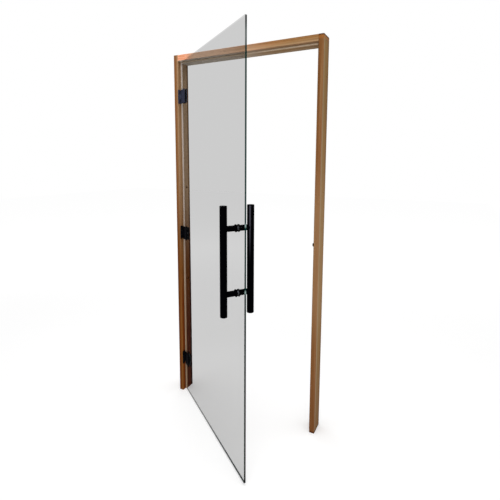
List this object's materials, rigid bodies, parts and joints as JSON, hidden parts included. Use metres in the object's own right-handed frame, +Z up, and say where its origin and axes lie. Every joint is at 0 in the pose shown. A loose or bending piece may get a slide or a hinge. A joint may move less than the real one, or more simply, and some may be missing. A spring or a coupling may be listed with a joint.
{
  "type": "glass door",
  "caption": "Frameless grey-tinted glass door in a rebated timber frame without threshold, on black clamp hinges, with a bar pull handle on each face and a sprung roller catch",
  "frame": {"origin": "Middle of the doorway at floor level, in the plane of the frame's front face", "axes": "+X across the doorway from the hinge side to the strike side, +Y from the front face into the wall, +Z up"},
  "size_m": [0.885, 0.5675, 2.04],
  "materials": {
    "timber": "satin clear oil",
    "glass": "grey tint, polished edges",
    "black_metal": "fine matt powder coat",
    "handle_black": "satin powder coat",
    "zinc_steel": "zinc plated",
    "seal": "matt beige",
    "gasket": "matt black",
    "nylon": "natural",
    "black_plastic": "moulded black"
  },
  "bodies": {
    "frame": {"hinge_jamb": "timber", "strike_jamb": "timber", "head": "timber", "corner_screws": "zinc_steel", "seal_hinge_jamb": "seal", "seal_strike_jamb": "seal", "seal_head": "seal", "hinge_leaf_screws": "black_metal", "hinge_washers": "nylon", "catch_case": "black_metal", "catch_screws": "black_metal", "catch_spring": "zinc_steel", "hinge_leaf_top": "black_metal", "hinge_pin_top": "black_metal", "hinge_leaf_middle": "black_metal", "hinge_pin_middle": "black_metal", "hinge_leaf_bottom": "black_metal", "hinge_pin_bottom": "black_metal"},
    "door": {"glass_pane": "glass", "hinge_clamp_screws": "zinc_steel", "handle_grub_screws": "zinc_steel", "handle_stud_upper": "zinc_steel", "handle_stud_lower": "zinc_steel", "hinge_clamp_top": "black_metal", "hinge_backplate_top": "black_metal", "hinge_gasket_outer_top": "gasket", "hinge_gasket_inner_top": "gasket", "hinge_clamp_middle": "black_metal", "hinge_backplate_middle": "black_metal", "hinge_gasket_outer_middle": "gasket", "hinge_gasket_inner_middle": "gasket", "hinge_clamp_bottom": "black_metal", "hinge_backplate_bottom": "black_metal", "hinge_gasket_outer_bottom": "gasket", "hinge_gasket_inner_bottom": "gasket", "hinge_bushes": "nylon", "handle_bushes": "nylon", "handle_washers": "gasket", "pull_bar_outer": "handle_black", "bar_cap_upper_outer": "handle_black", "handle_post_upper_outer": "handle_black", "handle_collar_upper_outer": "handle_black", "bar_cap_lower_outer": "handle_black", "handle_post_lower_outer": "handle_black", "handle_collar_lower_outer": "handle_black", "pull_bar_inner": "handle_black", "bar_cap_upper_inner": "handle_black", "handle_post_upper_inner": "handle_black", "handle_collar_upper_inner": "handle_black", "bar_cap_lower_inner": "handle_black", "handle_post_lower_inner": "handle_black", "handle_collar_lower_inner": "handle_black"},
    "catch_fork": {"catch_fork": "black_metal", "catch_roller_pin": "zinc_steel"},
    "catch_roller": {"catch_roller": "black_plastic"}
  },
  "joints": [
    {"name": "door_swing", "type": "hinge", "parent": "frame", "child": "door", "pos_m": [-0.4095, -0.001, 1.014], "axis": [0, 0, -1], "range_deg": [-35.3, 64.7]},
    {"name": "catch_travel", "type": "slide", "parent": "frame", "child": "catch_fork", "axis": [1, 0, 0], "range_m": [0, 0.005], "stiffness_N_per_m": 400, "springref_m": -0.005, "deforming": ["catch_spring"]},
    {"name": "roller_spin", "type": "hinge", "parent": "catch_fork", "child": "catch_roller", "pos_m": [0.412, 0.0089, 1.022], "axis": [0, 0, 1], "continuous": true}
  ]
}
